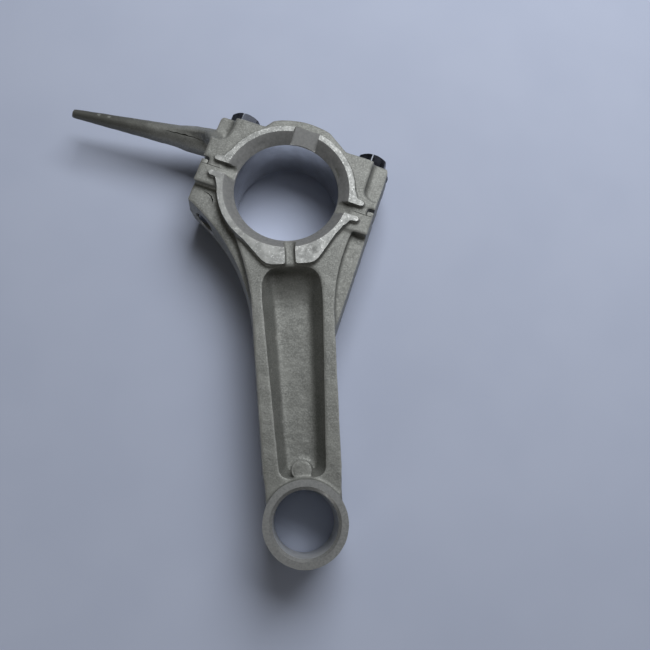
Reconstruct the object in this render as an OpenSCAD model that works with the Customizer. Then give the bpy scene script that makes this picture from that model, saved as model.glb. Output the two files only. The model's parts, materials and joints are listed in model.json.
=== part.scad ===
// Connecting rod of a small single-cylinder engine, lying flat.
// The origin is the centre of the big-end bore at mid width, +Z runs along both bores
// and the small end lies towards -Y. The joint between rod and cap is tilted, so the
// big end is drawn in its own frame: U along the joint and N square to it, towards the cap.

/* [Bores] */
// Diameter of the big-end bore that runs on the crankpin
big_bore_d = 36; // [35:0.5:37]
// Diameter of the small-end bore that takes the piston pin
small_bore_d = 20; // [18:0.5:20.5]
// Distance between the two bore axes
centre_distance = 110; // [108:1:130]

/* [Big end] */
// Width over the machined thrust lands, which is also the small end's width
land_w = 26; // [25:0.5:28]
// Width over the cast faces of the cap and of the joint lugs
plate_w = 23; // [22:0.5:24]
// Outer diameter of the thrust lands
land_d = 47.2; // [46.5:0.1:48]
// Diameter of the conical mouth of the big bore
mouth_d = 43; // [41:0.5:44]
// Depth of the conical mouth
mouth_depth = 3.4; // [2:0.2:4]
// Tilt of the joint from square to the shank
joint_tilt = 22; // [15:1:25]
// Half length of the joint, out to the side of a lug
lug_u = 31.4; // [31:0.1:33]
// Height of the cap's lugs, from the joint to the bolt seats
cap_lug_n = 20.5; // [20:0.5:23]
// Height of the rod's lugs below the joint
rod_lug_n = 7; // [6:0.5:8]
// Radius of the cap's crown
crown_r = 27; // [26.5:0.25:28]
// Width of the oil slot over the crown
crown_slot_w = 9.2; // [6:0.2:11]
// Width of the oil slot towards the shank
shank_slot_w = 3.4; // [2.5:0.1:4]

/* [Cap bolts] */
// Distance of each bolt from the centre of the bore, along the joint
bolt_u = 24.5; // [24.3:0.1:25]
// Thread diameter of the bolts
bolt_d = 8; // [7:0.5:8]
// Length of the bolts under the head
bolt_len = 36; // [34:1:38]
// Size of the hexagon across its flats
hex_af = 10; // [10:0.5:12]
// Height of the head with its flange
head_h = 6.4; // [6:0.2:8]
// Diameter of the flange
flange_d = 14.6; // [14:0.2:16]

/* [Shank] */
// Width over the rails of the I-section
rail_w = 22; // [20:0.5:23]
// Width over the bolt bosses that run down the flanks
boss_w = 17; // [16:0.5:19]
// Thickness of the web between the rails
web_t = 6; // [4:0.5:8]
// Width of the shank at its middle, over the parting line
shank_w = 26.6; // [25:0.2:28]
// Outer diameter of the small end
small_end_d = 26; // [25.5:0.5:28]

/* [Oil dipper] */
// Distance of the dipper's tip from the centre line of the cap
dipper_reach = 85.3; // [70:0.5:95]
// Radius of the dipper at its root
dipper_root_r = 4.8; // [4:0.2:5.2]
// Radius of the dipper at its tip
dipper_tip_r = 1.6; // [1:0.1:2]

/* [Hidden] */
$fn = 96;
cast_grey = "#8f918b";
bolt_black = "#22252e";
bore_r = big_bore_d / 2;
land_r = land_d / 2;
mouth_r = mouth_d / 2;
mouth_z = land_w / 2 - mouth_depth;
plate_z = plate_w / 2;
rail_z = rail_w / 2;
boss_z = boss_w / 2;
small_r = small_end_d / 2;
// Both joint faces stop this far short of the thrust lands
land_gap = 2;
// Width of a thrust land's tab, and how far out its end reaches
tab_w = 2;
tab_u = 27;
// Shoulders at the ends of the rod's joint faces, which locate the cap
shoulder_u = 28.9;
shoulder_n = 1.6;
shoulder_clearance = 0.05;
cap_foot_n = 2.7;
// Radial clearances of the bolts in the cap and in the tapped holes
cap_hole_clearance = 0.3;
thread_clearance = 0.06;
tapped_depth = 20;
// The lowered outer faces of the cap's lugs
relief_z = 9;
relief_u = 26;
relief_n_right = 6.2;
relief_n_left = 10.8;
relief_corner_r = 3.5;
// Tops of the slots: at the bore they meet the foot of the conical mouth
slot_floor_r = 24;
far = 60;

// Turns from the joint's frame into the part's frame
module joint_frame() {
    rotate([0, 0, -joint_tilt]) children();
}

// Radius of an arc that leaves a straight line at a tangent and ends dx aside, dy along
function flare_r(dx, dy) = (dx * dx + dy * dy) / (2 * dx);

// Half an outline, from the centre line to a side that flares from [x, foot_y] to the point p
module flare(x, foot_y, p) {
    r = flare_r(p[0] - x, p[1] - foot_y);
    difference() {
        translate([0, foot_y]) square([p[0] + 5, p[1] - foot_y]);
        translate([x + r, foot_y]) circle(r, $fn = 360);
    }
}

// The outline mirrored to both sides of mid width, height z to each side
module both_faces(z) {
    translate([0, 0, -z]) linear_extrude(2 * z) children();
}

// A copy on each of the two flat sides of the rod
module each_face() {
    for (side = [0, 1]) {
        mirror([0, 0, side]) children();
    }
}

// ---- Big end, shared by rod and cap ----

// Bore and its two conical mouths
module big_bore() {
    over = 1.5;
    cylinder(h = far, r = bore_r, center = true);
    each_face() {
        translate([0, 0, mouth_z])
            cylinder(h = over * mouth_depth, r1 = bore_r, r2 = bore_r + over * (mouth_r - bore_r));
    }
}

// A slot of width w across the land and down into the mouth, leading along +X
module mouth_slot(w, reach) {
    inner_r = bore_r - 3;
    foot_z = mouth_z + 0.2;
    each_face() {
        translate([0, w / 2, 0])
            rotate([90, 0, 0])
                linear_extrude(w)
                    polygon([
                        [inner_r, foot_z],
                        [bore_r, foot_z],
                        [slot_floor_r, plate_z],
                        [reach, plate_z],
                        [reach, land_w],
                        [inner_r, land_w]
                    ]);
    }
}

// Outline of a tab where a land turns outwards along the joint, on the +U side
module land_tab() {
    corner = 0.7;
    translate([0, land_gap])
        polygon([
            [mouth_r, 0],
            [tab_u - corner, 0],
            [tab_u, corner],
            [tab_u, tab_w - corner],
            [tab_u - corner, tab_w],
            [land_r + 0.6, tab_w],
            [land_r - 0.5, tab_w + 2.4],
            [mouth_r, tab_w]
        ]);
}

// Outline of the lands on the cap's side of the joint, before the crown slot
module half_lands() {
    intersection() {
        circle(land_r);
        translate([-far, land_gap]) square([2 * far, far]);
    }
    land_tab();
    mirror([1, 0]) land_tab();
}

// ---- Cap ----

// Outline of the crown, ending at the bolt seats: steep on the left, a long chord on the right
module crown_plan() {
    left_u = -14.8;
    left_top = [-12.2, 25];
    right_u = 15.2;
    chord_top = [1.8, 30];
    intersection() {
        circle(crown_r, $fn = 180);
        polygon([
            [left_u, bore_r / 2], [left_u, cap_lug_n], left_top, [left_top[0], chord_top[1]],
            chord_top, [right_u, cap_lug_n], [right_u, bore_r / 2]
        ]);
    }
}

// Outline of the cap in the joint's frame
module cap_plan() {
    corner = 1;
    foot_u = shoulder_u - shoulder_clearance;
    polygon([
        [-foot_u, 0], [foot_u, 0],
        [foot_u, cap_foot_n], [lug_u, cap_foot_n],
        [lug_u, cap_lug_n - corner], [lug_u - corner, cap_lug_n],
        [corner - lug_u, cap_lug_n], [-lug_u, cap_lug_n - corner],
        [-lug_u, cap_foot_n], [-foot_u, cap_foot_n]
    ]);
    crown_plan();
}

// Lowered outer corner of a lug, starting at height foot_n above the joint
module lug_relief(foot_n) {
    each_face() {
        translate([0, 0, relief_z])
            linear_extrude(far)
                difference() {
                    translate([relief_u, foot_n]) square([far, far]);
                    difference() {
                        translate([relief_u - 1, foot_n - 1])
                            square([relief_corner_r + 1, relief_corner_r + 1]);
                        translate([relief_u + relief_corner_r, foot_n + relief_corner_r])
                            circle(relief_corner_r);
                    }
                }
    }
}

// The long finger that throws oil, with the gusset at its root
module dipper() {
    root = [-30.5, 14];
    tip = [-dipper_reach, 8.1];
    run = tip - root;
    turn = atan2(run[1], run[0]);
    translate([root[0], root[1], 0]) {
        rotate([0, 0, turn]) {
            rotate([0, 90, 0]) cylinder(h = norm(run), r1 = dipper_root_r, r2 = dipper_tip_r);
            translate([norm(run), 0, 0]) sphere(dipper_tip_r);
        }
    }
    slice = 0.5;
    gusset_z = relief_z - 1;
    gusset_n = 9.5;
    gusset_run = 18;
    hull() {
        translate([-lug_u, gusset_n + slice, -gusset_z]) cube([slice, 4.6, 2 * gusset_z]);
        translate([-lug_u, gusset_n, -gusset_z / 2]) cube([slice, 9, gusset_z]);
        translate([-lug_u - gusset_run, gusset_n, -2.4]) cube([slice, 4.8, 4.8]);
    }
}

// Bolt hole of radius r on the +U side, from n0 to n1
module bolt_hole(r, n0, n1) {
    translate([bolt_u, n1, 0]) rotate([90, 0, 0]) cylinder(h = n1 - n0, r = r);
}

module rod_cap() {
    color(cast_grey)
        joint_frame()
            difference() {
                union() {
                    both_faces(plate_z) cap_plan();
                    both_faces(land_w / 2) half_lands();
                    dipper();
                }
                big_bore();
                rotate([0, 0, 90]) mouth_slot(crown_slot_w, land_r + 1);
                mouth_slot(2 * land_gap, lug_u + 1);
                mirror([1, 0, 0]) mouth_slot(2 * land_gap, lug_u + 1);
                lug_relief(relief_n_right);
                mirror([1, 0, 0]) intersection() {
                    lug_relief(relief_n_left);
                    translate([0, 0, -far]) cube([lug_u + 1, far, 2 * far]);
                }
                bolt_hole(bolt_d / 2 + cap_hole_clearance, -1, far);
                mirror([1, 0, 0]) bolt_hole(bolt_d / 2 + cap_hole_clearance, -1, far);
            }
}

// ---- Rod ----

// Outline of the land that widens towards the shank, on the +X side, before its slot
module shank_land() {
    edge_y = -27.5;
    polygon([
        [-1, -bore_r - 1], [-1, edge_y], [6.2, edge_y], [8.2, edge_y + 0.6],
        [9.8, edge_y + 2.1], [17.9, -14.7], [15, -13]
    ]);
}

// Outline of the rod's lugs and of the shoulders that locate the cap
module rod_lug_plan() {
    polygon([
        [-lug_u, -rod_lug_n], [lug_u, -rod_lug_n],
        [lug_u, shoulder_n], [shoulder_u, shoulder_n],
        [shoulder_u, 0], [-shoulder_u, 0],
        [-shoulder_u, shoulder_n], [-lug_u, shoulder_n]
    ]);
}

// Half width of the shank where it leaves the big end, beyond its middle
function shoulder_w() = shank_w / 2 + 0.7;

// Outline of the tapered shank between the two ends
module shank_plan() {
    top_y = -30;
    foot_y = 4 - centre_distance;
    waist = shank_w / 2 - 0.9;
    neck = shank_w / 2 - 1.6;
    polygon([
        [-shoulder_w(), top_y], [shoulder_w(), top_y],
        [waist, foot_y + 12], [neck, foot_y + 6], [neck, foot_y],
        [-neck, foot_y], [-neck, foot_y + 6], [-waist, foot_y + 12]
    ]);
}

// Rails of the I-section, which flare out under the lugs
module rail_plan() {
    foot_y = -48;
    right_top = [23.6, -13];
    left_top = [18.8, -14.5];
    flare(shank_w / 2 + 0.3, foot_y, right_top);
    mirror([1, 0]) flare(shank_w / 2, foot_y, left_top);
}

// Bolt bosses, straight down the joint's frame on the right and flared on the left
module boss_plan() {
    tail_y = -50.5;
    flank_top = [43, 7];
    intersection() {
        joint_frame() translate([-lug_u, -far]) square([2 * lug_u, far - rod_lug_n + 1]);
        union() {
            translate([0, tail_y]) square([far, far]);
            mirror([1, 0]) flare(shank_w / 2 + 0.2, tail_y, flank_top);
        }
    }
}

// Pocket in one face of the shank, with drafted walls, sloping up to the big end
module pocket() {
    foot_y = small_r + 0.6 - centre_distance;
    hull() {
        for (side = [-1, 1]) {
            translate([side * 5.2, -33.2, rail_z]) cylinder(h = 1, r = 4.5, $fn = 32);
            translate([side * 6.9, -38, rail_z]) cylinder(h = 1, r = 3, $fn = 32);
            translate([side * 4.2, foot_y + 3, rail_z]) cylinder(h = 1, r = 3, $fn = 32);
            translate([side * 4.4, -43.5, web_t / 2]) cylinder(h = 1, r = 2, $fn = 32);
            translate([side * 3.2, foot_y + 4.2, web_t / 2]) cylinder(h = 1, r = 1.8, $fn = 32);
        }
    }
}

// Round boss that stands in the pocket against the small end
module pocket_boss() {
    boss_y = small_r + 2.8 - centre_distance;
    translate([0, boss_y, 0]) cylinder(h = rail_w - 1, r = 3.1, center = true);
}

// Small end with its chamfered bore
module small_end() {
    translate([0, -centre_distance, 0]) cylinder(h = land_w, r = small_r, center = true);
}

module small_bore() {
    chamfer = 0.9;
    translate([0, -centre_distance, 0]) {
        cylinder(h = far, r = small_bore_d / 2, center = true);
        each_face() {
            translate([0, 0, land_w / 2 - chamfer])
                cylinder(h = chamfer + 0.5, r1 = small_bore_d / 2, r2 = small_bore_d / 2 + chamfer + 0.5);
        }
    }
}

// Everything cast on the rod's side of the joint, as one blank
module rod_blank() {
    difference() {
        union() {
            both_faces(rail_z) {
                shank_plan();
                rail_plan();
            }
            both_faces(boss_z) boss_plan();
        }
        each_face() pocket();
    }
    both_faces(plate_z)
        joint_frame() {
            rod_lug_plan();
            intersection() {
                circle(land_r);
                translate([-far, -far]) square([2 * far, far]);
            }
        }
    both_faces(land_w / 2) {
        joint_frame() mirror([0, 1]) half_lands();
        shank_land();
        mirror([1, 0]) shank_land();
    }
    pocket_boss();
    small_end();
}

module rod_body() {
    color(cast_grey)
        difference() {
            rod_blank();
            big_bore();
            small_bore();
            rotate([0, 0, -90]) mouth_slot(shank_slot_w, 28.6);
            joint_frame() {
                mouth_slot(2 * land_gap, lug_u + 1);
                mirror([1, 0, 0]) mouth_slot(2 * land_gap, lug_u + 1);
                bolt_hole(bolt_d / 2 + thread_clearance, -tapped_depth, 1);
                mirror([1, 0, 0]) bolt_hole(bolt_d / 2 + thread_clearance, -tapped_depth, 1);
            }
        }
}

// ---- Bolts ----

// A flanged hexagon bolt on the +U side, seated on its lug
module cap_bolt() {
    flange_t = 1.5;
    point = 1;
    top_r = hex_af / 2 - 0.3;
    translate([bolt_u, cap_lug_n, 0])
        rotate([-90, 0, 0]) {
            translate([0, 0, point - bolt_len]) cylinder(h = bolt_len - point, r = bolt_d / 2);
            translate([0, 0, -bolt_len]) cylinder(h = point, r1 = bolt_d / 2 - point, r2 = bolt_d / 2);
            cylinder(h = flange_t, r = flange_d / 2);
            intersection() {
                cylinder(h = head_h, r = hex_af / 2 / cos(30), $fn = 6);
                cylinder(h = head_h, r1 = top_r + head_h, r2 = top_r);
            }
        }
}

module cap_bolt_right() {
    color(bolt_black) joint_frame() cap_bolt();
}

module cap_bolt_left() {
    color(bolt_black) joint_frame() mirror([1, 0, 0]) cap_bolt();
}

rod_body();
rod_cap();
cap_bolt_left();
cap_bolt_right();
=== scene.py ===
"""Looks of a small engine's connecting rod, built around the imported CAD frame.

Metres, in the CAD frame: +Z runs along both bores and the small end lies towards -Y. The joint between
rod and cap is tilted, so the big end is worked in the joint's frame: u along it, n square to it.
Each casting is made as a real one is: a blank with stock on it and soft edges, then crisp machined cuts.
"""
import json
import math

import bmesh
import bpy
import numpy as np
from mathutils import Matrix, Vector, noise


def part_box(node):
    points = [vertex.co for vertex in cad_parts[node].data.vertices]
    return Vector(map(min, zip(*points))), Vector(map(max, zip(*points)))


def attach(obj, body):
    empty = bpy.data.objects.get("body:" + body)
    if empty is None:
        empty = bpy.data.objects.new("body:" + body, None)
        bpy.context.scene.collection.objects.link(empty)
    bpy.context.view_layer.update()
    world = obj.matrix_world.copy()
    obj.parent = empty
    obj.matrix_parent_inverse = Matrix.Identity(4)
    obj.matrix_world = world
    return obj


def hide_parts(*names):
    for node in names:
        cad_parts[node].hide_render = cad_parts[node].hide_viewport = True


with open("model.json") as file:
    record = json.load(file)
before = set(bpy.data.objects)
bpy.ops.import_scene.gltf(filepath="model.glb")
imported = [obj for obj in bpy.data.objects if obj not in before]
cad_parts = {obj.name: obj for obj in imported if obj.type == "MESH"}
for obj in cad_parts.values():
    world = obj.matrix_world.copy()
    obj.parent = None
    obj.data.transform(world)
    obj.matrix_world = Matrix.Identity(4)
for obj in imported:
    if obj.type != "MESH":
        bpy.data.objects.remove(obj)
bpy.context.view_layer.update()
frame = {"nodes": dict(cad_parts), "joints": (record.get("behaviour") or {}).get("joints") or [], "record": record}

# ---- Dimensions, from the frame where it states them ----
MM = 0.001
MOUNTS = {mount["name"]: mount for mount in frame["record"]["mounts"]}
LAND_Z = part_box("rod_body")[1].z
BIG_R = MOUNTS["big_end_bore"]["dims"]["r_mm"] * MM
MOUTH_Z = MOUNTS["big_end_bore"]["dims"]["length_mm"] * MM / 2
MOUTH_R = 21.5 * MM
SMALL_R = MOUNTS["small_end_bore"]["dims"]["r_mm"] * MM
SMALL_Y = MOUNTS["small_end_bore"]["pos_m"][1]
SMALL_CHAMFER_Z = MOUNTS["small_end_bore"]["dims"]["length_mm"] * MM / 2
N_AXIS = Vector(frame["joints"][0]["axis"])
U_AXIS = Vector((N_AXIS.y, -N_AXIS.x, 0))
JOINT = Matrix((U_AXIS, N_AXIS, Vector((0, 0, 1)))).transposed().to_4x4()
PLATE_Z = 11.5 * MM
BOSS_Z = 8.5 * MM
SHOULDER_U = 28.9 * MM
SHOULDER_N = 1.6 * MM
SEAT_N = 20.5 * MM
BOLT_U = 24.5 * MM
CAP_HOLE_R = 4.3 * MM
THREAD_R = 4.0 * MM
THREAD_PITCH = 1.25 * MM
TAP_DEPTH = 20 * MM
WRENCH_CORNER_R = 5.66 * MM
LUG_END_U = 31.38 * MM
CROWN_SLOT_W = 9.2 * MM
CROWN_SLOT_N = 24 * MM
FAR = 0.2

# ---- How the castings are made ----
# STOCK is what machining takes off, FLASH the line at the parting plane, and WAVE how uneven a cast face is.
# Places closer than CLOSE count as one, and a normal with more than FLAT along an axis counts as along it.
VOXEL = 0.4 * MM
SMOOTHING = 9
STOCK = 1.1 * MM
SEAT_STOCK = 0.25 * MM
DRAFT = math.tan(math.radians(4))
FLASH = 0.16 * MM
WAVE = 0.09 * MM
CLOSE = 0.004 * MM
FLAT = 0.999


# ---- Mesh tools ----
def add_object(name, mesh):
    """A new object in the scene that shows the mesh."""
    piece = bpy.data.objects.new(name, mesh)
    bpy.context.scene.collection.objects.link(piece)
    return piece


def solid(name, points, faces, place=Matrix.Identity(4)):
    """A mesh object from points and faces, moved by place."""
    mesh = bpy.data.meshes.new(name)
    mesh.from_pydata([place @ Vector(p) for p in points], [], faces)
    bm = bmesh.new()
    bm.from_mesh(mesh)
    bmesh.ops.recalc_face_normals(bm, faces=bm.faces)
    bm.to_mesh(mesh)
    bm.free()
    return add_object(name, mesh)


def rings(name, rows, steps, place=Matrix.Identity(4)):
    """A closed solid from rows of (height, radius), first to last; a radius may be a function of the angle
    and the height. The first and last rows are closed with flat ends."""
    points, faces = [], []
    for height, radius in rows:
        for i in range(steps):
            angle = 2 * math.pi * i / steps
            r = radius(angle, height) if callable(radius) else radius
            points.append((r * math.cos(angle), r * math.sin(angle), height))
    for j in range(len(rows) - 1):
        for i in range(steps):
            a, b = j * steps + i, j * steps + (i + 1) % steps
            faces.append((a, b, b + steps, a + steps))
    faces.append(tuple(range(steps)))
    faces.append(tuple(range(len(points) - steps, len(points))))
    return solid(name, points, faces, place)


def prism(name, outline, low, high, place=Matrix.Identity(4)):
    """A closed solid over a flat outline, from height low to high."""
    count = len(outline)
    points = [(x, y, low) for x, y in outline] + [(x, y, high) for x, y in outline]
    faces = [tuple(range(count)), tuple(range(count, 2 * count))]
    faces += [(i, (i + 1) % count, count + (i + 1) % count, count + i) for i in range(count)]
    return solid(name, points, faces, place)


def block(name, low, high, place=Matrix.Identity(4)):
    """A box between two opposite corners."""
    outline = [(low[0], low[1]), (high[0], low[1]), (high[0], high[1]), (low[0], high[1])]
    return prism(name, outline, low[2], high[2], place)


def baked(piece):
    """The piece with its modifiers applied."""
    evaluated = piece.evaluated_get(bpy.context.evaluated_depsgraph_get())
    mesh = bpy.data.meshes.new_from_object(evaluated)
    piece.modifiers.clear()
    piece.data = mesh
    return piece


def joined(name, pieces):
    """One object that holds all the pieces' faces."""
    bm = bmesh.new()
    for piece in pieces:
        bm.from_mesh(piece.data)
        bpy.data.objects.remove(piece)
    mesh = bpy.data.meshes.new(name)
    bm.to_mesh(mesh)
    bm.free()
    return add_object(name, mesh)


def get_points(mesh):
    """The mesh's points, one in each row."""
    points = np.empty(len(mesh.vertices) * 3)
    mesh.vertices.foreach_get("co", points)
    return points.reshape(-1, 3)


def weld(mesh):
    """Joins the points that lie in one place, so that the mesh is closed."""
    bm = bmesh.new()
    bm.from_mesh(mesh)
    bmesh.ops.remove_doubles(bm, verts=bm.verts, dist=CLOSE / 2)
    bm.to_mesh(mesh)
    bm.free()


def set_points(mesh, points):
    """Moves the mesh's points, one in each row."""
    mesh.vertices.foreach_set("co", points.ravel())
    mesh.update()


def get_normals(mesh):
    """The normals at the mesh's points, one in each row."""
    normals = np.empty(len(mesh.vertices) * 3)
    mesh.vertices.foreach_get("normal", normals)
    return normals.reshape(-1, 3)


def to_joint(points):
    """u, n and z of points in the part's frame."""
    return points @ np.array(U_AXIS), points @ np.array(N_AXIS), points[:, 2]


def ramp(x, low, high):
    """0 below low, 1 above high, smooth between."""
    t = np.clip((x - low) / (high - low), 0, 1)
    return t * t * (3 - 2 * t)


def merge(piece, extra):
    """Adds a solid to the piece with a crisp edge."""
    step = piece.modifiers.new("merge", "BOOLEAN")
    step.operation = "UNION"
    step.solver = "MANIFOLD"
    step.object = extra
    baked(piece)
    bpy.data.objects.remove(extra)
    return piece


def cut(piece, cutters):
    """Takes the cutters away from the piece, one after another."""
    before = len(piece.data.polygons)
    for cutter in cutters:
        step = piece.modifiers.new("cut", "BOOLEAN")
        step.operation = "DIFFERENCE"
        step.solver = "MANIFOLD"
        step.object = cutter
    baked(piece)
    if len(piece.data.polygons) == before:
        raise RuntimeError(piece.name + " is open, so nothing was cut from it")
    for cutter in cutters:
        bpy.data.objects.remove(cutter)
    return piece


# ---- Castings ----
def with_stock(node, shift):
    """A copy of a CAD node's mesh, with its machined faces raised by their stock."""
    mesh = frame["nodes"][node].data.copy()
    mesh.materials.clear()
    weld(mesh)
    points = get_points(mesh)
    high = np.abs(points[:, 2]) > LAND_Z - CLOSE
    points[high, 2] += np.sign(points[high, 2]) * STOCK
    _, n, _ = to_joint(points)
    for level, stock in shift:
        points += np.outer((np.abs(n - level) < CLOSE) * stock, np.array(N_AXIS))
    set_points(mesh, points)
    return add_object(node + "_stock", mesh)


def bolt_place(side):
    """Places a local +Z that runs along the bolt on the given side, outwards from the joint."""
    return JOINT @ Matrix.Translation((side * BOLT_U, 0, 0)) @ Matrix.Rotation(-math.pi / 2, 4, "X")


def soften(piece, regions):
    """Remeshes a blank finely and rounds all its edges, as a casting's are. Each region is a weight for
    every point and the extra rounds of smoothing it gets."""
    remesh = piece.modifiers.new("remesh", "REMESH")
    remesh.mode = "VOXEL"
    remesh.voxel_size = VOXEL
    baked(piece)
    rounds = [("everywhere", "", SMOOTHING)]
    for name, weight_of, extra in regions:
        group = piece.vertex_groups.new(name=name)
        for index, weight in enumerate(weight_of(get_points(piece.data))):
            if weight > 0:
                group.add([index], weight, "REPLACE")
        rounds.append((name, name, extra))
    for name, group_name, count in rounds:
        smooth = piece.modifiers.new(name, "SMOOTH")
        smooth.factor = 0.5
        smooth.iterations = count
        smooth.vertex_group = group_name
    baked(piece)
    piece.vertex_groups.clear()
    return piece


def weather(piece, draft_of):
    """Draft on the walls, a line of flash at the parting plane, and the slight waviness of a cast face."""
    mesh = piece.data
    points, normals = get_points(mesh), get_normals(mesh)
    z = np.abs(points[:, 2])
    upright = 1 - ramp(np.abs(normals[:, 2]), 0.3, 0.9)
    flash = FLASH * np.exp(-((z / (0.5 * VOXEL)) ** 2))
    wave_length, roughness, lacunarity, octaves = 5 * MM, 0.9, 2.0, 3
    fractal = [noise.fractal(Vector(p) / wave_length, roughness, lacunarity, octaves) for p in points]
    wave = np.array(fractal) * WAVE
    outward = normals.copy()
    outward[:, 2] = 0
    points += outward * (upright * (draft_of(points, z) + flash))[:, None]
    points += normals * wave[:, None]
    set_points(mesh, points)
    return piece


def rod_draft(points, z):
    """Draft of the rod's walls: none at the small end, and little on the lands that stand on the plates."""
    body_mid_z, land_mid_z = 5.5 * MM, 12.3 * MM
    body = DRAFT * (body_mid_z - z)
    land = DRAFT * 1.5 * (land_mid_z - z)
    draft = body + (land - body) * ramp(z, 10.9 * MM, 11.6 * MM)
    return draft * ramp(points[:, 1], SMALL_Y + 11 * MM, SMALL_Y + 16 * MM)


def cap_draft(points, z):
    """Draft of the cap's walls: the dipper has none, because it is round."""
    u, _, _ = to_joint(points)
    return rod_draft(points, z) * ramp(u, -34 * MM, -31 * MM)


def pocket_region(points):
    """The pockets in the shank, whose fillets are large."""
    x, y, z = points[:, 0], points[:, 1], np.abs(points[:, 2])
    inside = ramp(-np.abs(x), -10 * MM, -8 * MM) * ramp(y, SMALL_Y + 15 * MM, SMALL_Y + 20 * MM)
    return inside * ramp(-y, 29 * MM, 31 * MM) * ramp(-z, -10.4 * MM, -8.5 * MM)


def relief_region(points):
    """The steps to the lowered outer faces of the cap's lugs."""
    u, n, z = to_joint(points)
    beside = ramp(np.abs(u), 23.5 * MM, 25.5 * MM) * ramp(n, 4 * MM, 6 * MM)
    return beside * ramp(np.abs(z), 7 * MM, 8.5 * MM) * ramp(np.abs(u), 31 * MM, 30 * MM)


def bore_plug():
    """Stock for the big bore, up to the foot of its conical mouths."""
    reach = MOUTH_Z + 0.15 * MM
    return rings("bore_plug", [(-reach, BIG_R + 0.6 * MM), (reach, BIG_R + 0.6 * MM)], 96)


def crown_slot_outline(top_z, foot_z, outer_n):
    """Side view of the crown's slot: out along n, up along z."""
    inner_n = BIG_R - 3 * MM
    rise = [(inner_n, foot_z), (BIG_R, foot_z), (CROWN_SLOT_N, PLATE_Z)]
    return rise + [(outer_n, PLATE_Z), (outer_n, top_z), (inner_n, top_z)]


def crown_slot(name, width, outline, side):
    """A slot over the crown on one face, cut or filled: its outline pulled along u."""
    turn = Matrix(((0, 0, 1, 0), (1, 0, 0, 0), (0, side, 0, 0), (0, 0, 0, 1)))
    return prism(name, outline, -width / 2, width / 2, JOINT @ turn)


def loft(name, sections, place=Matrix.Identity(4)):
    """A closed solid through closed sections with the same number of points."""
    count = len(sections[0])
    points = [p for section in sections for p in section]
    faces = []
    for j in range(len(sections) - 1):
        for i in range(count):
            a, b = j * count + i, j * count + (i + 1) % count
            faces.append((a, b, b + count, a + count))
    faces.append(tuple(range(count)))
    faces.append(tuple(range(len(points) - count, len(points))))
    return solid(name, points, faces, place)


def dipper_axis(t):
    """Centre of the dipper's round section in u and n, and its radius, from root (0) to tip (1). The
    bar tapers evenly and swells where it nears the lug."""
    root, tip = Vector((-29, 14.15)), Vector((-85.3, 8.1))
    tip_r, taper, swell = 1.62, 3.33, 0.6
    return root.lerp(tip, t), tip_r + taper * (1 - t) + swell * float(ramp(-t, -0.33, -0.2))


def dipper_bar():
    """The dipper: a round bar, tapered to its tip."""
    steps, around = 40, 32
    turns = [2 * math.pi * i / around for i in range(around)]
    sections = []
    for j in range(steps + 1):
        centre, radius = dipper_axis(j / steps)
        ring = [(centre.x, centre.y + radius * math.cos(a), radius * math.sin(a)) for a in turns]
        sections.append([Vector(p) * MM for p in ring])
    return loft("dipper_bar", sections, JOINT)


def dipper_ramp():
    """The ramp that runs from the lug's face down onto the dipper's back. Each section is u, then n and z
    of its near edge, its ridge and its far edge. On the underside it is lower and lies further back."""
    stations = [
        (-28.2, (8.8, 11.2), (11.6, 10.6), (14.4, 8.8)),
        (-31.6, (8.9, 11.0), (11.8, 10.2), (14.4, 8.6)),
        (-33.4, (10.0, 8.0), (12.3, 9.2), (14.5, 8.0)),
        (-35.2, (11.2, 4.7), (12.9, 7.7), (14.9, 6.8)),
        (-38.5, (11.3, 4.6), (13.2, 6.3), (15.1, 5.4)),
        (-43.0, (11.3, 4.3), (13.2, 5.0), (15.1, 4.0)),
        (-49.0, (11.0, 3.8), (12.8, 3.9), (14.9, 2.4)),
    ]
    lean, low_share = 0.45, 0.8
    sections = []
    for u, near, ridge, far in stations:
        upper = [near, ridge, far]
        outline = upper + [(n + lean * z, -low_share * z) for n, z in reversed(upper)]
        sections.append([Vector((u, n, z)) * MM for n, z in outline])
    return loft("dipper_ramp", sections, JOINT)


def groove(name, points, widths, depth):
    """A shallow groove along points, each a place and the surface's normal there, with its half widths."""
    sections = []
    for i, (place, normal) in enumerate(points):
        ahead = points[min(i + 1, len(points) - 1)][0] - points[max(i - 1, 0)][0]
        side = ahead.cross(normal).normalized() * widths[i]
        deep = normal.normalized() * depth
        sections.append([place + side, place - deep, place - side, place + deep])
    return loft(name, sections)


def dipper_crease():
    """The fold a cold joint left where the ramp meets the dipper's back."""
    up = JOINT.to_3x3() @ Vector((0, -0.3, 0.95))
    path = [
        (-50.2, 11.15, 3.75, 0.03), (-48.6, 11.25, 3.90, 0.14), (-47.0, 11.15, 4.00, 0.17),
        (-45.6, 11.4, 4.15, 0.27), (-44.0, 11.3, 4.25, 0.22), (-42.4, 11.5, 4.40, 0.30),
        (-41.0, 11.35, 4.45, 0.18), (-39.2, 11.5, 4.55, 0.12), (-37.2, 11.3, 4.65, 0.07),
        (-35.6, 11.25, 4.75, 0.10), (-35.0, 10.9, 4.7, 0.12), (-34.8, 10.2, 4.4, 0.05),
    ]
    points = [(JOINT @ Vector((u * MM, n * MM, z * MM)), up) for u, n, z, _ in path]
    return groove("dipper_crease", points, [w * MM for *_, w in path], 0.75 * MM)


def boss_mark():
    """A curved mark in the cast face of the left bolt boss."""
    up = Vector((0, 0, 1))
    places = [(-26.8, -8.7), (-25.3, -9.0), (-24.0, -9.7), (-23.1, -10.8), (-22.7, -12.0)]
    points = [(JOINT @ Vector((u * MM, n * MM, BOSS_Z)), up) for u, n in places]
    return groove("boss_mark", points, [w * MM for w in (0.05, 0.16, 0.2, 0.26, 0.06)], 0.5 * MM)


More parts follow.
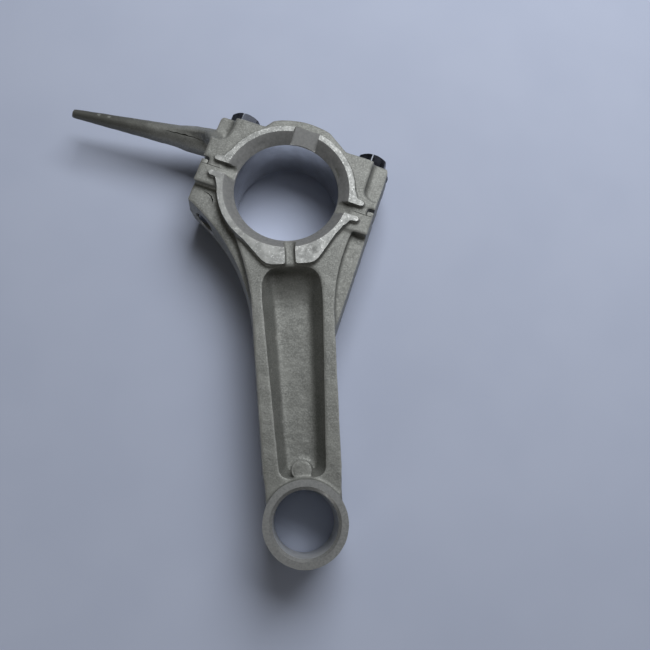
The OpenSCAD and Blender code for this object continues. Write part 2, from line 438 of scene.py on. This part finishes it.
def relief_slope(side, face, foot_n):
    """Slopes the step down to the lowered outer face of a lug."""
    low_u, low_z, grow = 26.3, 8.9, 0.8
    corner_r, past_lug, past_seat = 3.5, 34.0, 22.5
    arc = [math.pi + math.pi / 2 * i / 8 for i in range(9)]
    sections = []
    for spread, height in ((0, low_z), (grow, 11.6), (1.15 * grow, 12.4)):
        inner_u, lower_n = low_u - spread, foot_n - 0.3 * spread
        corner_u, corner_n = inner_u + corner_r, lower_n + corner_r
        outline = [(corner_u + corner_r * math.cos(a), corner_n + corner_r * math.sin(a)) for a in arc]
        outline += [(past_lug, lower_n), (past_lug, past_seat), (inner_u, past_seat)]
        sections.append([Vector((side * u, n, face * height)) * MM for u, n in outline])
    return loft("relief_slope", sections, JOINT)


def cap_casting():
    """The cap's blank, dipper and all, before machining."""
    plugs = [bore_plug(), dipper_bar(), dipper_ramp()]
    crown_n, hole_r = 23.2 * MM, 5 * MM
    for side in (-1, 1):
        outline = crown_slot_outline(LAND_Z + STOCK, MOUTH_Z - 0.4 * MM, crown_n)
        plugs.append(crown_slot("slot_plug", CROWN_SLOT_W + 1 * MM, outline, side))
        ends = [(-STOCK, hole_r), (SEAT_N + SEAT_STOCK, hole_r)]
        plugs.append(rings("hole_plug", ends, 48, bolt_place(side)))
    stock = with_stock("rod_cap", [(0, -STOCK), (SEAT_N, SEAT_STOCK)])
    relief_feet = ((1, 6.2), (-1, 12.8))
    shaped = [relief_slope(side, face, foot_n) for side, foot_n in relief_feet for face in (1, -1)]
    shaped.append(block("beyond_lug", (-FAR, -FAR, -FAR), (-LUG_END_U, FAR, FAR), JOINT))
    cut(stock, shaped)
    blank = joined("rod_cap_casting", [stock] + plugs)
    return weather(soften(blank, [("relief", relief_region, 14)]), cap_draft)


def pocket_marks():
    """The round boss that stands in each pocket against the small end, its rim crisp."""
    top, face_r, rim = 10.4 * MM, 2.95 * MM, 0.25 * MM
    place = Matrix.Translation((-0.3 * MM, SMALL_Y + 15.9 * MM, 0))
    rows = [(-top, face_r), (rim - top, face_r + rim), (top - rim, face_r + rim), (top, face_r)]
    return rings("pocket_marks", rows, 64, place)


def pocket_scoop(side):
    """Hollows the upper end of a pocket: a steep end wall, then a long sweep down to the floor."""
    top_z, sweep_z, floor_z = 11.4, 7.0, 3.0
    wall_y, sweep, foot_y = -28.3, 12.4, -44.0
    steps = 12
    profile = [(top_z, wall_y), (0.5 * (top_z + sweep_z), wall_y - 0.2)]
    for j in range(steps + 1):
        share = 1 - j / steps
        profile.append((floor_z + (sweep_z - floor_z) * share**2, wall_y - 0.4 - sweep * (1 - share)))
    sections = []
    for z, top_y in profile:
        drop = (top_z - z) / (top_z - floor_z)
        half, corner = 9.4 - 3.0 * drop, 4.4 - 2.6 * drop
        arc = [math.pi / 2 * i / 8 for i in range(9)]
        right = [(half - corner + corner * math.cos(a), top_y - corner + corner * math.sin(a)) for a in arc]
        outline = [(half, foot_y)] + right + [(-x, y) for x, y in reversed(right)] + [(-half, foot_y)]
        sections.append([Vector((x, y, side * z)) * MM for x, y in outline])
    return loft("pocket_scoop", sections)


def rod_casting():
    """The rod's blank before machining."""
    reach, small_r, hole_r = LAND_Z + STOCK, 11.3 * MM, 4.8 * MM
    at_small_end = Matrix.Translation((0, SMALL_Y, 0))
    small = rings("small_plug", [(-reach, small_r), (reach, small_r)], 96, at_small_end)
    ends = [(-11 * MM, hole_r), (STOCK, hole_r)]
    holes = [rings("hole_plug", ends, 48, bolt_place(side)) for side in (-1, 1)]
    stock = with_stock("rod_body", [(0, STOCK), (SHOULDER_N, STOCK / 2)])
    cut(stock, [pocket_scoop(side) for side in (-1, 1)])
    blank = joined("rod_body_casting", [stock, bore_plug(), small] + holes)
    return weather(soften(blank, [("pocket", pocket_region, 70)]), rod_draft)


# ---- Machining ----
def facing():
    """The two cuts that face the lands and the small end."""
    low = (-FAR, -FAR)
    return [
        block("face_top", (*low, LAND_Z), (FAR, FAR, 2 * LAND_Z)),
        block("face_bottom", (*low, -2 * LAND_Z), (FAR, FAR, -LAND_Z)),
    ]


def big_bore_tool():
    """Bores the big end and its conical mouths, with the sharp edges just broken."""
    slope = (MOUTH_R - BIG_R) / (LAND_Z - MOUTH_Z)
    edge = 0.18 * MM
    past = LAND_Z + 1 * MM
    half = [
        (MOUTH_Z - edge, BIG_R),
        (MOUTH_Z - 0.2 * edge, BIG_R + 0.15 * edge),
        (MOUTH_Z + 0.7 * edge, BIG_R + 0.85 * edge * slope),
        (LAND_Z - edge, MOUTH_R - 0.9 * edge * slope),
        (LAND_Z - 0.1 * edge, MOUTH_R + 0.6 * edge),
        (past, MOUTH_R + past - LAND_Z + edge),
    ]
    return rings("big_bore_tool", [(-z, r) for z, r in reversed(half)] + half, 192)


def small_bore_tool():
    """Bores the small end with its chamfers."""
    past = LAND_Z + 1 * MM
    flare = past - SMALL_CHAMFER_Z
    half = [(SMALL_CHAMFER_Z, SMALL_R), (past, SMALL_R + flare)]
    rows = [(-z, r) for z, r in reversed(half)] + half
    return rings("small_bore_tool", rows, 160, Matrix.Translation((0, SMALL_Y, 0)))


def joint_tool(foot_u, foot_n, side):
    """Takes away all on one side of the joint: n above 0 for the rod (side 1), below 0 for the cap (-1),
    leaving what stands beyond foot_u up to foot_n."""
    outline = [
        (-FAR, foot_n), (-foot_u, foot_n), (-foot_u, 0),
        (foot_u, 0), (foot_u, foot_n), (FAR, foot_n), (FAR, side * FAR), (-FAR, side * FAR),
    ]
    return prism("joint_tool", outline, -FAR, FAR, JOINT)


def joint_line():
    """Breaks the edges of the joint faces, so that the joint shows as a fine line on both sides."""
    half, far_u = 0.16 * MM, 40 * MM
    lines = []
    for face in (1, -1):
        z = face * PLATE_Z
        section = [(half, z), (0, z - half), (-half, z), (0, z + half)]
        ends = [[Vector((u, n, height)) for n, height in section] for u in (-far_u, far_u)]
        lines.append(loft("joint_line", ends, JOINT))
    return lines


def drill(radius, low, high, side):
    """Bores a plain hole along a bolt's axis."""
    return rings("drill", [(low, radius), (high, radius)], 64, bolt_place(side))


def thread_radius(major):
    """Radius of a rolled thread at an angle and height: flanks with small flats at root and crest."""
    depth, flat = 0.61 * THREAD_PITCH, 0.12

    def radius(angle, height):
        turn = (height / THREAD_PITCH - angle / (2 * math.pi)) % 1
        flank = min(1, max(0, (abs(turn - 0.5) * 2 - flat) / (1 - 2 * flat)))
        return major - depth * flank

    return radius


def thread_rows(low, high, major):
    """Rows of a threaded stretch."""
    steps_per_turn = 10
    count = round((high - low) / THREAD_PITCH * steps_per_turn)
    return [(low + (high - low) * i / count, thread_radius(major)) for i in range(count + 1)]


def tap(side, low, high):
    """Cuts a threaded hole that the bolt's thread turns in."""
    return rings("tap", thread_rows(low, high, THREAD_R + 0.06 * MM), 48, bolt_place(side))


def machined_cap():
    """The finished cap."""
    cap = cap_casting()
    cutters = facing() + [big_bore_tool(), joint_tool(SHOULDER_U - 0.05 * MM, 0, -1), dipper_crease()]
    cutters += joint_line()
    for side in (-1, 1):
        outline = crown_slot_outline(2 * LAND_Z, MOUTH_Z + 0.2 * MM, CROWN_SLOT_N + 0.2 * MM)
        cutters.append(crown_slot("slot_tool", CROWN_SLOT_W, outline, side))
        cutters.append(drill(CAP_HOLE_R, -2 * MM, FAR, side))
    return cut(cap, cutters)


def machined_rod():
    """The finished rod."""
    rod = rod_casting()
    merge(rod, pocket_marks())
    cutters = facing() + [big_bore_tool(), small_bore_tool(), joint_tool(SHOULDER_U, SHOULDER_N, 1)]
    cutters += joint_line() + [boss_mark()]
    cutters += [tap(side, -TAP_DEPTH, 2 * MM) for side in (-1, 1)]
    return cut(rod, cutters)


# ---- Bolts ----
def hexagon(across_flats, chamfer_top, top_r, turn):
    """Radius of a hexagon turned about its axis, its corners just broken and its top turned off."""

    def radius(angle, height):
        away = ((angle - turn + math.pi / 6) % (math.pi / 3)) - math.pi / 6
        turned = top_r + (chamfer_top - height) / math.tan(math.radians(32))
        return min(across_flats / 2 / math.cos(away), WRENCH_CORNER_R, turned)

    return radius


def bolt(name, side, turn):
    """A flanged hexagon bolt with a dished head, its thread in the rod."""
    length, head, across_flats = 36 * MM, 6.4 * MM, 10 * MM
    flange, shank = 7.3 * MM, 3.72 * MM
    tip = SEAT_N - length
    wrench = hexagon(across_flats, SEAT_N + head, 4.55 * MM, math.radians(turn))
    rows = [(tip, 2.6 * MM), (tip + 0.9 * MM, 3.3 * MM)]
    rows += thread_rows(tip + 1.1 * MM, -1.5 * MM, THREAD_R)
    rows += [(-1.1 * MM, shank), (SEAT_N - 0.9 * MM, shank), (SEAT_N - 0.3 * MM, 3.9 * MM)]
    rows += [(SEAT_N, 4.25 * MM), (SEAT_N, flange - 0.3 * MM), (SEAT_N + 0.25 * MM, flange)]
    rows += [(SEAT_N + 0.8 * MM, flange), (SEAT_N + 1.05 * MM, flange - 0.25 * MM)]
    rows += [(SEAT_N + 1.7 * MM, 5.95 * MM), (SEAT_N + 1.95 * MM, wrench)]
    foot, top, steps = SEAT_N + 2.2 * MM, SEAT_N + head, 24
    rows += [(foot + (top - foot) * (i / steps) ** 0.6, wrench) for i in range(steps + 1)]
    rows += [(top + 0.02 * MM, 4.2 * MM), (top - 0.1 * MM, 3.5 * MM), (top - 0.75 * MM, 3.0 * MM)]
    rows += [(top - 0.85 * MM, 2.6 * MM)]
    return rings(name, rows, 180, bolt_place(side))


def give_bolt_wear_and_glint(screw, side):
    """Gives the bolt's corners and the rim of its head the lighter finish: wear on the metal, and a painted glint.
    """
    centres, _ = face_table(screw.data)
    u, n, z = to_joint(centres)
    radius = np.hypot(u - side * BOLT_U, z)
    above = n > SEAT_N + 2 * MM
    # Corners and the head's rim carry wear and a painted glint.
    wear_and_glint = above & (radius > WRENCH_CORNER_R - 0.03 * MM)
    wear_and_glint |= above & (np.abs(radius - 4.35 * MM) < 0.2 * MM) & (n > SEAT_N + 6.3 * MM)
    screw.data.materials.clear()
    for material in (black_steel("black_oxide_steel", 0.0), black_steel("rubbed_and_glinting_steel", 0.5)):
        screw.data.materials.append(material)
    screw.data.polygons.foreach_set("material_index", wear_and_glint.astype(np.int32))


# ---- Materials ----
class Paint:
    """Short helpers for one procedural material."""

    def __init__(self, name):
        self.material = bpy.data.materials.new(name)
        self.material.use_nodes = True
        self.tree = self.material.node_tree
        self.shader = self.tree.nodes["Principled BSDF"]
        where = self.tree.nodes.new("ShaderNodeTexCoord")
        self.at = self.scaled(where.outputs["Object"], 1 / MM)

    def link(self, value, socket):
        """Feeds a socket from another node's output, or sets it to a plain value."""
        if hasattr(value, "is_output"):
            self.tree.links.new(value, socket)
        else:
            socket.default_value = value

    def scaled(self, vector, amount):
        """The vector times an amount."""
        node = self.tree.nodes.new("ShaderNodeVectorMath")
        node.operation = "SCALE"
        self.link(vector, node.inputs[0])
        node.inputs["Scale"].default_value = amount
        return node.outputs[0]

    def stretched(self, factors, turn=0.0):
        """Millimetre coordinates, turned about Z and then scaled along each axis."""
        node = self.tree.nodes.new("ShaderNodeMapping")
        node.vector_type = "POINT"
        self.link(self.at, node.inputs["Vector"])
        node.inputs["Rotation"].default_value = (0, 0, turn)
        node.inputs["Scale"].default_value = factors
        return node.outputs[0]

    def noise(self, size, detail=3.0, rough=0.55, at=None):
        """Noise with features of about size millimetres."""
        node = self.tree.nodes.new("ShaderNodeTexNoise")
        self.link(at or self.at, node.inputs["Vector"])
        node.inputs["Scale"].default_value = 1 / size
        node.inputs["Detail"].default_value = detail
        node.inputs["Roughness"].default_value = rough
        return node.outputs["Fac"]

    def fit(self, value, low, high, to_low=0.0, to_high=1.0):
        """Carries low to to_low and high to to_high, smoothly between and level beyond."""
        node = self.tree.nodes.new("ShaderNodeMapRange")
        node.interpolation_type = "SMOOTHSTEP"
        self.link(value, node.inputs["Value"])
        node.inputs["From Min"].default_value = low
        node.inputs["From Max"].default_value = high
        node.inputs["To Min"].default_value = to_low
        node.inputs["To Max"].default_value = to_high
        return node.outputs["Result"]

    def math(self, operation, a, b=0.0):
        """Arithmetic on one or two values."""
        node = self.tree.nodes.new("ShaderNodeMath")
        node.operation = operation
        self.link(a, node.inputs[0])
        self.link(b, node.inputs[1])
        return node.outputs[0]

    def mix(self, share, a, b):
        """From colour a to colour b as share goes from 0 to 1."""
        node = self.tree.nodes.new("ShaderNodeMix")
        node.data_type = "RGBA"
        self.link(share, node.inputs["Factor"])
        self.link(a if hasattr(a, "is_output") else (*a, 1), node.inputs["A"])
        self.link(b if hasattr(b, "is_output") else (*b, 1), node.inputs["B"])
        return node.outputs["Result"]

    def edges(self, low, high):
        """1 on convex edges."""
        node = self.tree.nodes.new("ShaderNodeNewGeometry")
        return self.fit(node.outputs["Pointiness"], low, high)

    def hollows(self):
        """1 in tight hollow corners: the mask for painted shade."""
        node = self.tree.nodes.new("ShaderNodeNewGeometry")
        return self.fit(node.outputs["Pointiness"], 0.44, 0.485, 1, 0)

    def place(self, axis):
        """Millimetres along X, Y or Z."""
        node = self.tree.nodes.new("ShaderNodeSeparateXYZ")
        self.link(self.at, node.inputs[0])
        return node.outputs[axis]

    def radius(self, x, y):
        """Distance in millimetres from an axis along Z."""
        dx = self.math("SUBTRACT", self.place("X"), x)
        dy = self.math("SUBTRACT", self.place("Y"), y)
        square = self.math("ADD", self.math("MULTIPLY", dx, dx), self.math("MULTIPLY", dy, dy))
        return self.math("SQRT", square)

    def bump(self, height, depth, under=None):
        """Relief of depth millimetres, on top of an earlier bump."""
        node = self.tree.nodes.new("ShaderNodeBump")
        node.inputs["Distance"].default_value = depth * MM
        node.inputs["Strength"].default_value = 1
        self.link(height, node.inputs["Height"])
        if under:
            self.link(under, node.inputs["Normal"])
        return node.outputs[0]

    def finish(self, color, metallic, roughness, normal=None):
        """Sets the shader and gives the finished material."""
        self.link(color if hasattr(color, "is_output") else (*color, 1), self.shader.inputs["Base Color"])
        self.link(metallic, self.shader.inputs["Metallic"])
        self.link(roughness, self.shader.inputs["Roughness"])
        if normal:
            self.link(normal, self.shader.inputs["Normal"])
        return self.material


def cast_alloy():
    """Die-cast aluminium: sandy grey skin with stains, darker along the dipper, painted shade in tight hollow
    corners, and edges lighter as wear and a painted highlight.
    """
    p = Paint("cast_alloy")
    cloud = p.fit(p.noise(9, 4), 0.35, 0.68)
    grain = p.noise(0.55, 4, 0.65)
    pits = p.fit(p.noise(1.6, 2, 0.5), 0.28, 0.4)
    skin = p.mix(cloud, (0.168, 0.172, 0.165), (0.222, 0.226, 0.217))
    skin = p.mix(p.fit(grain, 0.38, 0.75), skin, (0.285, 0.290, 0.277))
    skin = p.mix(p.math("MULTIPLY", p.fit(pits, 0, 1, 1, 0), 0.5), skin, (0.13, 0.13, 0.128))
    # Darker along the dipper, towards its tip.
    along = p.fit(p.place("X"), -30, -66, 0, 0.85)
    skin = p.mix(along, skin, (0.085, 0.086, 0.078))
    # Painted shade: tight hollow corners are darkened where shade falls.
    skin = p.mix(p.math("MULTIPLY", p.hollows(), 0.6), skin, (0.075, 0.076, 0.070))
    # Convex edges painted lighter: wear on the metal, and a painted highlight.
    skin = p.mix(p.math("MULTIPLY", p.edges(0.51, 0.57), 0.45), skin, (0.40, 0.405, 0.395))
    rough = p.fit(grain, 0.25, 0.75, 0.62, 0.5)
    relief = p.bump(p.noise(2.4, 3), 0.10)
    relief = p.bump(grain, 0.05, relief)
    return p.finish(skin, 0.45, rough, relief)


def machined_land():
    """A milled and lapped face: bright, with sparkle and dull patches."""
    p = Paint("machined_land")
    fleck = p.noise(0.7, 5, 0.75)
    patch = p.fit(p.noise(4.5, 3), 0.38, 0.66)
    face = p.mix(patch, (0.20, 0.204, 0.202), (0.285, 0.29, 0.287))
    face = p.mix(p.fit(fleck, 0.55, 0.75), face, (0.52, 0.525, 0.525))
    face = p.mix(p.fit(fleck, 0.4, 0.22), face, (0.15, 0.152, 0.15))
    blot = p.math("ADD", p.radius(8.3, -22.7), p.math("MULTIPLY", p.noise(1.3, 3), 3.2))
    face = p.mix(p.fit(blot, 2.2, 3.3, 0.75, 0), face, (0.10, 0.102, 0.10))
    rough = p.fit(fleck, 0.3, 0.7, 0.56, 0.36)
    marks = p.noise(0.35, 3, 0.6, p.stretched((0.12, 1, 1), math.radians(35)))
    relief = p.bump(marks, 0.012)
    relief = p.bump(fleck, 0.03, relief)
    return p.finish(face, 0.65, rough, relief)


def turned_face():
    """The small end's face, turned but dulled."""
    p = Paint("turned_face")
    fleck = p.noise(0.8, 4, 0.7)
    groove = p.tree.nodes.new("ShaderNodeTexNoise")
    groove.noise_dimensions = "1D"
    p.link(p.radius(0, SMALL_Y / MM), groove.inputs["W"])
    groove.inputs["Scale"].default_value = 5
    face = p.mix(p.fit(fleck, 0.3, 0.75), (0.22, 0.224, 0.228), (0.335, 0.34, 0.346))
    relief = p.bump(groove.outputs["Fac"], 0.02)
    return p.finish(face, 0.45, p.fit(fleck, 0.3, 0.7, 0.52, 0.38), relief)


def mouth_cone():
    """The big bore's conical mouths and the floor of the crown's slot: smooth, darker than the lands."""
    p = Paint("mouth_cone")
    fleck = p.noise(1.1, 4, 0.6)
    face = p.mix(p.fit(fleck, 0.3, 0.75), (0.235, 0.237, 0.242), (0.30, 0.303, 0.308))
    relief = p.bump(p.noise(0.6, 3), 0.015)
    return p.finish(face, 0.25, p.fit(fleck, 0.3, 0.7, 0.5, 0.4), relief)


def honed_bore():
    """The crankpin's bore: finely honed, nearly a mirror along the axis."""
    p = Paint("honed_bore")
    lines = p.noise(0.25, 3, 0.7, p.stretched((0.25, 0.25, 3.0)))
    haze = p.noise(6, 3)
    face = p.mix(p.fit(haze, 0.35, 0.7), (0.60, 0.61, 0.63), (0.72, 0.73, 0.75))
    relief = p.bump(lines, 0.004)
    return p.finish(face, 1.0, p.fit(lines, 0.3, 0.7, 0.16, 0.26), relief)


def pin_bore():
    """The piston pin's bore: reamed, and duller than the crankpin's."""
    p = Paint("pin_bore")
    haze = p.noise(5, 3)
    face = p.mix(p.fit(haze, 0.35, 0.7), (0.50, 0.51, 0.52), (0.62, 0.63, 0.64))
    relief = p.bump(p.noise(0.25, 3, 0.7, p.stretched((0.25, 0.25, 3.0))), 0.004)
    return p.finish(face, 0.35, p.fit(haze, 0.3, 0.7, 0.30, 0.40), relief)


def cut_face():
    """Joint faces, bolt holes and the walls of the crown's slot: milled, matt."""
    p = Paint("cut_face")
    marks = p.noise(0.4, 3, 0.6, p.stretched((0.15, 1, 1), math.radians(-22)))
    face = p.mix(p.fit(marks, 0.3, 0.7), (0.32, 0.322, 0.31), (0.44, 0.445, 0.43))
    return p.finish(face, 0.85, p.fit(marks, 0.3, 0.7, 0.5, 0.38), p.bump(marks, 0.015))


def black_steel(name, wear_glint_share):
    """Black-oxide steel, lightened by the given share towards plain steel: wear on the metal, and a painted glint.
    """
    p = Paint(name)
    haze = p.noise(1.8, 4, 0.6)
    face = p.mix(p.fit(haze, 0.35, 0.7), (0.024, 0.027, 0.037), (0.048, 0.052, 0.068))
    # Lighter steel by share and on convex edges: wear on the metal, and a painted glint.
    rub_and_glint = p.fit(haze, 0.3, 0.6, 0.3 * wear_glint_share, wear_glint_share)
    edge_wear_and_glint = p.math("MULTIPLY", p.edges(0.53, 0.66), 0.5)
    face = p.mix(p.math("MAXIMUM", rub_and_glint, edge_wear_and_glint), face, (0.30, 0.32, 0.37))
    relief = p.bump(p.noise(0.4, 3), 0.012)
    return p.finish(face, 0.75, p.fit(haze, 0.3, 0.7, 0.26, 0.42), relief)


def floor_paper():
    """Plain pale floor."""
    p = Paint("floor_paper")
    tone = p.mix(p.fit(p.noise(40, 2), 0.3, 0.7), (0.49, 0.54, 0.70), (0.51, 0.56, 0.72))
    return p.finish(tone, 0.0, 0.85)


# Places of the castings' finishes in their list.
CAST, LAND, DULL, MOUTH, BORE, CUT, PIN = range(7)


def casting_finishes():
    """The castings' materials, in the order of the places above."""
    return [
        cast_alloy(), machined_land(), turned_face(), mouth_cone(), honed_bore(), cut_face(), pin_bore(),
    ]


def face_table(mesh):
    """Centre and normal of every face."""
    centres = np.empty(len(mesh.polygons) * 3)
    normals = np.empty(len(mesh.polygons) * 3)
    mesh.polygons.foreach_get("center", centres)
    mesh.polygons.foreach_get("normal", normals)
    return centres.reshape(-1, 3), normals.reshape(-1, 3)


def give_finishes(piece, finishes):
    """Gives each face the finish of the cut that made it, and keeps the cuts' edges sharp."""
    mesh = piece.data
    centres, normals = face_table(mesh)
    u, n, z = to_joint(centres)
    height = np.abs(z)
    radius = np.hypot(centres[:, 0], centres[:, 1])
    small = np.hypot(centres[:, 0], centres[:, 1] - SMALL_Y)
    level = np.abs(normals[:, 2])
    facing_n = np.abs(normals @ np.array(N_AXIS))
    from_bolt = np.hypot(np.abs(u) - BOLT_U, z)
    finish = np.full(len(centres), CAST)
    faced = (np.abs(height - LAND_Z) < CLOSE) & (level > FLAT)
    finish[faced] = LAND
    finish[faced & (small < 2 * SMALL_R)] = DULL
    near_pin = small < SMALL_R + 1.2 * MM
    finish[near_pin & (height < LAND_Z - CLOSE) & (small > SMALL_R - 1 * MM)] = PIN
    finish[near_pin & (small > SMALL_R + 0.1 * MM) & (level > 0.3) & ~faced] = DULL
    cone_r = BIG_R + (height - MOUTH_Z) * (MOUTH_R - BIG_R) / (LAND_Z - MOUTH_Z)
    cone = (np.abs(radius - cone_r) < 0.12 * MM) & (height > MOUTH_Z) & (level > 0.5) & ~faced
    finish[cone] = MOUTH
    finish[(np.abs(radius - BIG_R) < 0.03 * MM) & (height < MOUTH_Z + 0.3 * MM) & (level < 0.3)] = BORE
    on_joint = (np.abs(n) < CLOSE) | (np.abs(n - SHOULDER_N) < CLOSE)
    on_joint &= facing_n > FLAT
    finish[on_joint] = CUT
    finish[(np.abs(n - SEAT_N) < CLOSE) & (facing_n > FLAT)] = CUT
    in_hole = (from_bolt < CAP_HOLE_R + 0.1 * MM) & (np.abs(u) > BOLT_U - 5 * MM)
    finish[in_hole & (n < SEAT_N + 1 * MM) & (n > -TAP_DEPTH - 0.1 * MM)] = CUT
    # The floor of the crown's slot slopes a little, so its normal sets it apart from the level faces.
    slot_floor = (np.abs(u) < CROWN_SLOT_W / 2 + CLOSE) & (level > 0.95) & (level < 0.975)
    slot_floor &= (n > BIG_R - 0.1 * MM) & (n < CROWN_SLOT_N + 0.2 * MM)
    slot_floor &= (height > MOUTH_Z) & (height < PLATE_Z + CLOSE)
    finish[slot_floor] = MOUTH
    slot_wall = (np.abs(np.abs(u) - CROWN_SLOT_W / 2) < CLOSE) & (n > 15 * MM) & (height > MOUTH_Z)
    finish[slot_wall] = CUT
    mesh.materials.clear()
    for material in finishes:
        mesh.materials.append(material)
    mesh.polygons.foreach_set("material_index", finish.astype(np.int32))
    mesh.shade_smooth()
    mesh.set_sharp_from_angle(angle=math.radians(34))
    mesh.polygons.foreach_set("use_smooth", ~(faced | on_joint | slot_floor))
    sharpen_borders(mesh, finish)


def sharpen_borders(mesh, finish):
    """Marks the edges between faces of different finishes as sharp."""
    edges_of = np.empty(len(mesh.loops), np.int32)
    mesh.loops.foreach_get("edge_index", edges_of)
    totals = np.empty(len(mesh.polygons), np.int32)
    mesh.polygons.foreach_get("loop_total", totals)
    loop_finish = np.repeat(finish, totals)
    lowest = np.full(len(mesh.edges), PIN)
    highest = np.full(len(mesh.edges), CAST)
    np.minimum.at(lowest, edges_of, loop_finish)
    np.maximum.at(highest, edges_of, loop_finish)
    sharp = mesh.attributes.get("sharp_edge") or mesh.attributes.new("sharp_edge", "BOOLEAN", "EDGE")
    values = np.empty(len(mesh.edges), bool)
    sharp.data.foreach_get("value", values)
    sharp.data.foreach_set("value", values | (highest > lowest))


# ---- The pieces ----
finishes = casting_finishes()
rod = machined_rod()
rod.name = "connecting_rod"
give_finishes(rod, finishes)
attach(rod, "rod")
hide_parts("rod_body")

cap = machined_cap()
cap.name = "bearing_cap"
give_finishes(cap, finishes)
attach(cap, "cap")
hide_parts("rod_cap")

for word, side, turn in (("left", -1, 52.5), ("right", 1, 55)):
    screw = bolt(word + "_cap_bolt", side, turn)
    give_bolt_wear_and_glint(screw, side)
    screw.data.shade_smooth()
    screw.data.set_sharp_from_angle(angle=math.radians(28))
    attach(screw, word + "_bolt")
    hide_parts("cap_bolt_" + word)

# ---- Stage, light and camera ----
half = 3
corners = [(-half, -half, 0), (half, -half, 0), (half, half, 0), (-half, half, 0)]
floor = solid("floor", corners, [(0, 1, 2, 3)])
floor.location.z = -LAND_Z - 0.01 * MM
floor.data.materials.append(floor_paper())


def soft_light(name, place, size, power, color):
    """A square area light that faces the big end."""
    data = bpy.data.lights.new(name, "AREA")
    data.size = size
    data.energy = power
    data.color = color
    lamp = bpy.data.objects.new(name, data)
    lamp.location = place
    lamp.rotation_euler = (-Vector(place)).to_track_quat("-Z", "Y").to_euler()
    bpy.context.scene.collection.objects.link(lamp)


soft_light("key", (0.17, 0.29, 0.49), 0.42, 3.2, (0.98, 1.0, 1.0))
soft_light("fill", (0.42, -0.16, 0.34), 0.5, 0.25, (0.95, 0.97, 1.0))
soft_light("low", (-0.22, -0.36, 0.05), 0.12, 0.2, (1.0, 0.99, 0.95))
world = bpy.data.worlds.new("studio")
world.use_nodes = True
world.node_tree.nodes["Background"].inputs["Color"].default_value = (1.0, 0.93, 0.74, 1)
world.node_tree.nodes["Background"].inputs["Strength"].default_value = 0.038
bpy.context.scene.world = world
bpy.context.scene.view_settings.view_transform = "Standard"

# The camera stands and looks as the photo's did.
lens = bpy.data.cameras.new("camera")
lens.sensor_width = 36
lens.lens = 36.13
lens.clip_start = 0.01
camera = bpy.data.objects.new("camera", lens)
camera.location = (-0.003731, -0.101049, 0.216696)
camera.rotation_euler = (0.2536, -0.0496, -0.0678)
bpy.context.scene.collection.objects.link(camera)
bpy.context.scene.camera = camera
